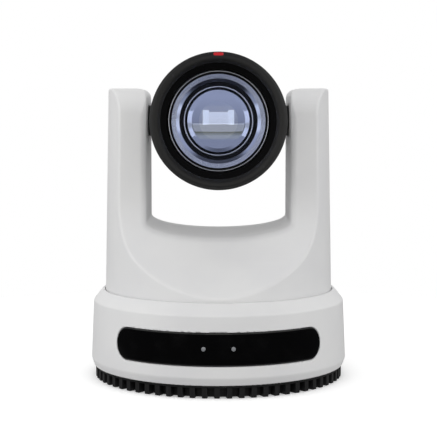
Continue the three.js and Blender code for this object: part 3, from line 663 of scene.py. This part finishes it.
def rear_half(x, y, z):
    """The rear shell: screw recesses in the arms, and a row of cooling slots low down."""
    half = meet(fork_shell(x, y, z), SEAM_Y + SEAM_GAP / 2 - y, 0.3)
    screws = np.hypot(np.abs(x) - SCREW_X, z - SCREW_Z)
    half = meet(half, -np.maximum(screws - 3, 28.3 - y), 0.3)
    half = np.maximum(half, 1.7 - screws)
    slots = np.maximum(bar(in_row(x, 5), z - 65.5, 1, 6.5, 1), np.abs(x) - 27.5)
    return meet(half, -np.maximum(slots, 33 - y), 0.35)


def make_fork():
    """The fork's front and rear shells."""
    shaped(
        "fork_front", front_half, (-63, -63, 46), (63, 16, 159), 0.8, white_abs, "yoke",
        ["yoke_front_shell"]
    )
    shaped(
        "fork_rear", rear_half, (-63, 16, 46), (63, 63, 159), 0.8, white_abs, "yoke",
        ["yoke_rear_shell"]
    )


def make_arm_screws():
    """The pan-head screws with a cross recess that hold the rear shell's arms."""
    for name, x in (("left", -SCREW_X), ("right", SCREW_X)):
        def screw(px, py, pz, x=x):
            r = np.hypot(px - x, pz - SCREW_Z)
            dome = meet(r - 2.6, py - 29.9 + 0.06 * r * r, 0.4)
            dome = np.maximum(dome, 28.5 - py)
            shank = np.maximum(np.maximum(r - 1.4, py - 29), 17 - py)
            recess = np.maximum(cross(px - x, pz - SCREW_Z, 1.5, 0.3), 29.1 - py)
            return np.maximum(np.minimum(dome, shank), -recess)
        shaped(
            "arm_screw_" + name, screw, (x - 3, 17, SCREW_Z - 3), (x + 3, 30, SCREW_Z + 3), 0.2, zinc_steel,
            "yoke", ["yoke_screw_" + name]
        )


# ---------------------------------------------------------------- head
BEZEL = rounded(
    (36, -38, 0.4), (36, -47.4, 2.6), (34.2, -50, 1.6), (32, -50, 2.4), (30.3, -46.9, 0), (33.9, -44.4, 0),
    (33.9, -38, 0.2)
)
LINING = rounded(
    (30.1, -46.3, 0.2), (29.1, -45, 1.6), (27, -42.6, 0.8), (26.95, -39.6, 0), (33.8, -39.6, 0),
    (33.8, -44, 0)
)
TALLY_RISE = 34.65  # of the red light above the lens's axis


def head_distance(outline, x, y, z):
    """Distance to an outline (radius, y) turned about the lens's axis."""
    return outline_distance(outline, np.hypot(x, z - TILT_Z), y)


def make_bezel():
    """The black bezel, its hood lining darkened with painted shade, and the red light let into its rim."""
    about_lens("lens_bezel", BEZEL, black_abs, ["head_bezel"])
    # The lining's darker black is painted shade inside the hood.
    about_lens("hood_lining", LINING, hood_painted_shade_black, ["head_bezel"])

    def tally(x, y, z):
        proud = head_distance(BEZEL, x, y, z) - 0.12
        block = bar(x, z - TILT_Z - TALLY_RISE, 2.65, 0.85, 0.8)
        return meet(np.maximum(block, y + 45), proud, 0.25)
    shaped(
        "tally_lens", tally, (-3, -50.3, TILT_Z + 32.5), (3, -45, TILT_Z + 36.1), 0.16, red_acrylic, "head",
        ["tally_light"]
    )


HEAD_TUBE = rounded(
    (34.7, -37.7, 0.4), (34.7, 8, 0), (34, 28, 0.3), (31.8, 28, 0), (32.5, 8, 0), (32.5, -37.7, 0.3)
)
HEAD_CAP = rounded(
    (0, 43.8, 0), (22, 43.8, 4), (30.6, 36, 6), (31.8, 28.3, 0), (34, 28.3, 0.3), (33, 37.5, 9), (27, 46, 7),
    (0, 46, 0), steps=10
)


def make_head_covers():
    """The white tube, with a round hole for each pivot, and the cap behind it with its cooling slots."""
    def tube(x, y, z):
        return meet(head_distance(HEAD_TUBE, x, y, z), 8.7 - np.hypot(y, z - TILT_Z), 0.4)
    shaped(
        "head_tube", tube, (-34.7, -37.7, TILT_Z - 34.7), (34.7, 28, TILT_Z + 34.7), 0.9, white_abs, "head",
        ["head_shell"]
    )

    def cap(x, y, z):
        rise = z - TILT_Z
        slots = np.maximum(bar(x, in_row(rise, 4.5), 12, 0.9, 0.9), np.abs(rise) - 11)
        return meet(head_distance(HEAD_CAP, x, y, z), -np.maximum(slots, 40 - y), 0.35)
    shaped(
        "head_cap", cap, (-34, 28.3, TILT_Z - 34), (34, 46, TILT_Z + 34), 0.8, white_abs, "head",
        ["head_rear_cover"]
    )


def make_pivots():
    """The black pivot that shows between each arm and the head: a collar with a shallow groove."""
    for name, side in (("left", -1), ("right", 1)):
        tip = 52 if side < 0 else 55
        outline = rounded(
            (10, 27, 0.3), (10, 29.8, 0.3), (8.4, 29.8, 0.3), (8.4, 36.2, 0.2), (8, 36.4, 0.1),
            (8, 36.9, 0.1), (8.4, 37.1, 0.2), (8.4, 41.3, 0.3), (5.9, 41.3, 0.2), (5.9, tip, 0.3),
            (3.5, tip, 0.2), (3.5, 27, 0.2), steps=3
        )
        outline = [(r, side * h) for r, h in outline]
        turned(
            "pivot_" + name, outline, "x", black_abs, "head", ["trunnion_" + name],
            at=(0, 0, TILT_Z), sides=96
        )


def stepped_cone(steps, outer, inner, outer_y, inner_y):
    """A cone cut as fine steps, from its rim inwards."""
    radii = np.linspace(outer, inner, steps + 1)
    depths = np.linspace(outer_y, inner_y, steps + 1)
    edge = []
    for r, next_r, y in zip(radii, radii[1:], depths):
        edge += [(r, y), (next_r + 0.08, y + 0.12)]
    return edge + [(inner, inner_y + 1), (outer, inner_y + 1)]


def bowl(radii, y, deep, full):
    """Points of a shallow curved face: y at its middle, and deep farther back at its full radius."""
    return [(r, y + deep * (r / full) ** 2) for r in radii]


def make_lens():
    """What shows inside the bezel, from the rim inwards."""
    trim = rounded((26.2, -43.4, 0.15), (26.2, -40, 0), (25.85, -40, 0), (25.85, -43.4, 0.15), steps=4)
    about_lens("trim_ring", trim, silver_ring, ["lens_trim_ring"])
    front = bowl(np.linspace(0, 24.9, 30), -44.6, 3.4, 25.2) + [(25.2, -41)]
    front += bowl(np.linspace(25.2, 0, 24), -41.2, 1.6, 25.2)
    about_lens("front_element", front, front_coating, ["front_glass"])
    about_lens("lens_cone_ring", stepped_cone(5, 24.7, 22.4, -39.1, -37.7), silver_ring)
    bevel = rounded((22.4, -37.7, 0), (20.7, -36.5, 0), (20.7, -36.3, 0), (22.4, -36.3, 0), steps=3)
    about_lens("lens_bevel_ring", bevel, polished_bevel)
    barrel = rounded(
        (26.5, -39.2, 0.2), (26.5, 17.7, 0.2), (22.6, 17.7, 0.2), (22.6, -28.6, 0), (17.2, -28.6, 0),
        (17.2, -30.4, 0), (18.9, -30.4, 0), (18.9, -34.6, 0.15), (19.7, -34.6, 0.15), (19.7, -35.4, 0.15),
        (20.5, -35.4, 0.15), (20.5, -36.2, 0.1), (22.1, -36.2, 0), (24.7, -38, 0), (25.3, -39.2, 0.1),
        steps=3
    )
    about_lens("lens_tube", barrel, lens_black, ["lens_barrel"])
    retainer = rounded((18.25, -35.3, 0.15), (18.25, -34, 0), (17.8, -34, 0), (17.8, -35.3, 0.15), steps=4)
    about_lens("retaining_ring", retainer, silver_ring)
    seat = rounded((17.75, -34.9, 0.1), (17.75, -33.6, 0), (17.4, -33.6, 0), (17.3, -34.6, 0.1), steps=4)
    about_lens("element_seat", seat, lens_black)
    inner = bowl(np.linspace(0, 14.4, 24), -35.6, 1.2, 14.4)
    inner += [(r, -34.4 + 0.36 * (r - 14.4)) for r in np.linspace(14.6, 17.4, 8)]
    inner += [(18.4, -33.3), (18.4, -32.4), (0, -32.4)]
    about_lens("inner_element", inner, inner_coating, ["inner_glass"])
    stop = rounded((17, -32.2, 0), (17, -31.4, 0), (10.6, -31.4, 0), (10.2, -32.1, 0.2), steps=3)
    about_lens("lens_stop", stop, lens_black)
    rear = bowl(np.linspace(0, 10.4, 20), -31.9, 0.35, 10.4) + [(10.4, -30.9), (0, -30.9)]
    about_lens("rear_element", rear, rear_coating, ["inner_glass"])


# ---------------------------------------------------------------- rear sockets and underside
def small_block(name, low, high, material, body, edge=0.1):
    """A small moulded or stamped block with broken edges."""
    bm = bmesh.new()
    bmesh.ops.create_cube(bm, size=1)
    for v in bm.verts:
        v.co = [lo + (c + 0.5) * (hi - lo) for c, lo, hi in zip(v.co, low, high)]
    bmesh.ops.bevel(bm, geom=bm.edges[:], offset=edge, segments=2, profile=0.5, affect="EDGES")
    return finish_piece(mesh_of(bm, name), name, material, body)


NETWORK_X = -22
USB_X = VIDEO_X = -4.5


def contact_row(name, count, middle, pitch, half_width, y, z, edge):
    """A row of flat gold spring contacts about the middle of a socket."""
    for i in range(count):
        x = middle + (i - (count - 1) / 2) * pitch
        small_block(
            f"{name}_{i + 1}", (x - half_width, y[0], z[0]), (x + half_width, y[1], z[1]), gold_plate, "base",
            edge
        )


def make_socket_details():
    """Spring contacts in the network, USB and video sockets, and the network socket's two lamps."""
    contact_row("network_contact", 8, NETWORK_X, 1.02, 0.2, (38.5, 47.4), (23.4, 23.8), 0.08)
    for name, x in (("left", NETWORK_X - 6.5), ("right", NETWORK_X + 6.5)):
        small_block(
            f"network_lamp_{name}", (x - 0.9, 48.3, 26.4), (x + 0.9, 48.75, 28), lamp_acrylic, "base",
        )
    contact_row("usb_contact", 4, USB_X, 2.5, 0.5, (41, 47.3), (28.25, 28.5), 0.06)
    contact_row("video_contact", 9, VIDEO_X, 1, 0.2, (41, 47.3), (17.7, 17.85), 0.03)


def make_plate_screws():
    """The four domed screws that hold the base plate from below."""
    for i, (x, y) in enumerate([(-38, -28), (38, -28), (-38, 20), (38, 20)]):
        def screw(px, py, pz, x=x, y=y):
            r = np.hypot(px - x, py - y)
            disc = meet(r - 3.1, 1 + 0.04 * r * r - pz, 0.3)
            disc = np.maximum(disc, pz - 2)
            return np.maximum(disc, -np.maximum(cross(px - x, py - y, 1.6, 0.35), pz - 1.7))
        shaped(
            f"plate_screw_{i + 1}", screw, (x - 3.2, y - 3.2, 1), (x + 3.2, y + 3.2, 2), 0.2, zinc_steel,
            "base"
        )


def dress_cad_nodes():
    """Every CAD node takes its slot's finish, and the small ones that show get broken edges."""
    slots = {part["node"]: part["material_slot"] for part in frame["record"]["subparts"]}
    for name, piece in frame["nodes"].items():
        piece.data.materials.clear()
        piece.data.materials.append(SLOT_FINISH[slots[name]])
    for name in (
        "connector_bay", "dc_jack", "network_jack", "video_jack", "usb_jack", "serial_jack", "audio_in_jack",
        "audio_out_jack", "rotary_selector", "coax_jack", "tripod_insert", "base_plate"
    ):
        break_edges(frame["nodes"][name], 0.2, 35)


# ---------------------------------------------------------------- studio
# From here on places and sizes are in metres.
FLOOR_R = 0.34
# Brightness of the room by the height of a direction, from straight down to straight up.
ROOM = [
    (0.14, 0.04), (0.22, 0.68), (0.4, 0.68), (0.435, 0.03), (0.47, 0.03), (0.485, 0.62), (0.65, 0.88),
    (0.82, 0.88), (0.9, 0.14)
]


def set_room():
    """A white studio room: plain white to the eye, while its light on the camera follows ROOM."""
    bpy.context.scene.view_settings.view_transform = "Standard"
    world = bpy.data.worlds.new("studio")
    bpy.context.scene.world = world
    world.use_nodes = True
    tree = world.node_tree
    seen = add(tree, "ShaderNodeLightPath").outputs["Is Camera Ray"]
    way = add(tree, "ShaderNodeTexCoord").outputs["Generated"]
    height = add(tree, "ShaderNodeSeparateXYZ", Vector=way).outputs["Z"]
    place = add(tree, "ShaderNodeMapRange", Value=height, From_Min=-1.0)
    room = add(tree, "ShaderNodeValToRGB", Fac=place.outputs["Result"])
    glow = set_stops(room, [(at, (level, level, level, 1)) for at, level in ROOM])
    strength = add(tree, "ShaderNodeMix", {"data_type": "FLOAT"}, i0=seen, i2=glow, i3=1.0)
    tree.links.new(strength.outputs[0], tree.nodes["Background"].inputs["Strength"])
    tree.nodes["Background"].inputs["Color"].default_value = linear("FFFFFF")


def make_floor():
    """A disc of white paper that takes the shadow. It neither lights the camera nor shows in its gloss."""
    bm = bmesh.new()
    bmesh.ops.create_circle(bm, cap_ends=True, segments=96, radius=FLOOR_R)
    mesh = bpy.data.meshes.new("studio_floor")
    bm.to_mesh(mesh)
    bm.free()
    paper, _, shader, _ = new_material("floor_paper")
    shader.inputs["Base Color"].default_value = linear("FCFCFC")
    shader.inputs["Roughness"].default_value = 0.9
    shader.inputs["Specular IOR Level"].default_value = 0
    shader.inputs["Emission Color"].default_value = linear("FFFFFF")
    shader.inputs["Emission Strength"].default_value = 0.28
    mesh.materials.append(paper)
    floor = bpy.data.objects.new("studio_floor", mesh)
    floor.location = (0, 0, -0.0002)
    floor.visible_glossy = False
    floor.visible_diffuse = False
    bpy.context.collection.objects.link(floor)


def soft_light(name, at, aim, size, power, colour=(1, 1, 1), card=False):
    """A soft box that lights without showing in gloss, or a card that only gloss shows."""
    data = bpy.data.lights.new(name, "AREA")
    data.shape = "RECTANGLE"
    data.size, data.size_y = size
    data.energy = power
    data.color = colour
    light = bpy.data.objects.new(name, data)
    light.location = at
    light.visible_camera = False
    light.visible_diffuse = not card
    light.visible_glossy = card
    light.rotation_euler = (Vector(aim) - Vector(at)).to_track_quat("-Z", "Y").to_euler()
    bpy.context.collection.objects.link(light)


def set_soft_boxes():
    """Four soft boxes, aimed at the middle of the camera."""
    middle = (0, 0, 0.1)
    soft_light("key_box", (0, -1.5, 0.5), middle, (0.9, 0.5), 2.7)
    soft_light("left_box", (-1.4, -0.4, 0.4), middle, (0.5, 1.1), 5.6)
    soft_light("right_box", (1.4, -0.4, 0.4), middle, (0.5, 1.1), 3.5)
    soft_light("top_box", (0, -0.1, 1.4), middle, (1.2, 1.2), 6.1)


def set_lens_cards():
    """What the glass shows: three warm cards ahead, table and floor below, a bright card on each side."""
    cards = [
        ("front_card", (0, -1.5, 0.19), (0.38, 0.24), 0.3, (1, 0.95, 0.74)),
        ("front_card_left", (-0.25, -1.5, 0.205), (0.12, 0.29), 0.135, (1, 0.97, 0.76)),
        ("front_card_right", (0.25, -1.5, 0.205), (0.12, 0.29), 0.135, (1, 0.97, 0.76)),
        ("left_card", (-0.16, -0.15, 0.125), (0.19, 0.13), 0.08, (1, 0.97, 0.86)),
        ("right_card", (0.16, -0.15, 0.125), (0.19, 0.13), 0.08, (1, 0.97, 0.86)),
        ("table_card", (0, -0.3, 0.1135), (0.24, 0.033), 0.0225, (1, 0.95, 0.76)),
        ("floor_card", (0, -0.3, 0.082), (0.24, 0.03), 0.0034, (1, 0.92, 0.1)),
    ]
    for name, at, size, power, colour in cards:
        facing = (0, -0.04, at[2])
        soft_light(name, at, facing, size, power, colour, card=True)


dress_cad_nodes()
make_base()
make_window()
make_lamps()
make_foot()
make_fork()
make_arm_screws()
make_bezel()
make_head_covers()
make_pivots()
make_lens()
make_socket_details()
make_plate_screws()
set_room()
make_floor()
set_soft_boxes()
set_lens_cards()
